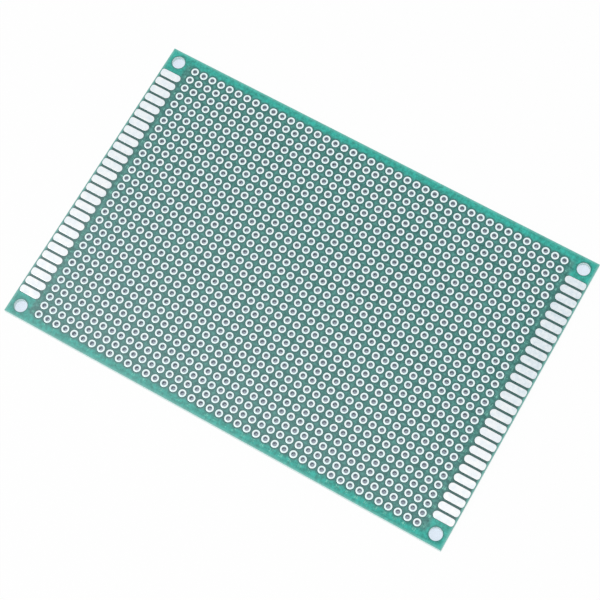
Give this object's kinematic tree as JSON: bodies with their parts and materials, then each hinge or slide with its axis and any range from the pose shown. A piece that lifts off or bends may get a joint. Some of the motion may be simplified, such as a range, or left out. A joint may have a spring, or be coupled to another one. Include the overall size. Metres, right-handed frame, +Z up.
{
  "type": "prototype board",
  "caption": "Double-sided prototype board: green rectangular laminate with a grid of tinned plated holes, edge fingers at both ends and a mounting hole in each corner.",
  "frame": {"origin": "the middle of the underside, on the plane of the lowest pads and fingers", "axes": "+X along the board's length, +Y across it, +Z up out of the top face"},
  "size_m": [0.12, 0.08, 0.0016],
  "materials": {
    "laminate": "matt, very pale glass and epoxy, bare at the edges and in the mounting holes",
    "solder_mask": "semi-gloss teal green solder mask on the faces of the board",
    "tin": "bright tinned copper"
  },
  "bodies": {
    "root": {"board": "solder_mask", "edge_fingers_left_top": "tin", "edge_fingers_right_top": "tin", "edge_fingers_left_bottom": "tin", "edge_fingers_right_bottom": "tin", "plated_row_01": "tin", "plated_row_02": "tin", "plated_row_03": "tin", "plated_row_04": "tin", "plated_row_05": "tin", "plated_row_06": "tin", "plated_row_07": "tin", "plated_row_08": "tin", "plated_row_09": "tin", "plated_row_10": "tin", "plated_row_11": "tin", "plated_row_12": "tin", "plated_row_13": "tin", "plated_row_14": "tin", "plated_row_15": "tin", "plated_row_16": "tin", "plated_row_17": "tin", "plated_row_18": "tin", "plated_row_19": "tin", "plated_row_20": "tin", "plated_row_21": "tin", "plated_row_22": "tin", "plated_row_23": "tin", "plated_row_24": "tin", "plated_row_25": "tin", "plated_row_26": "tin", "plated_row_27": "tin", "plated_row_28": "tin", "plated_row_29": "tin", "plated_row_30": "tin"}
  },
  "joints": []
}
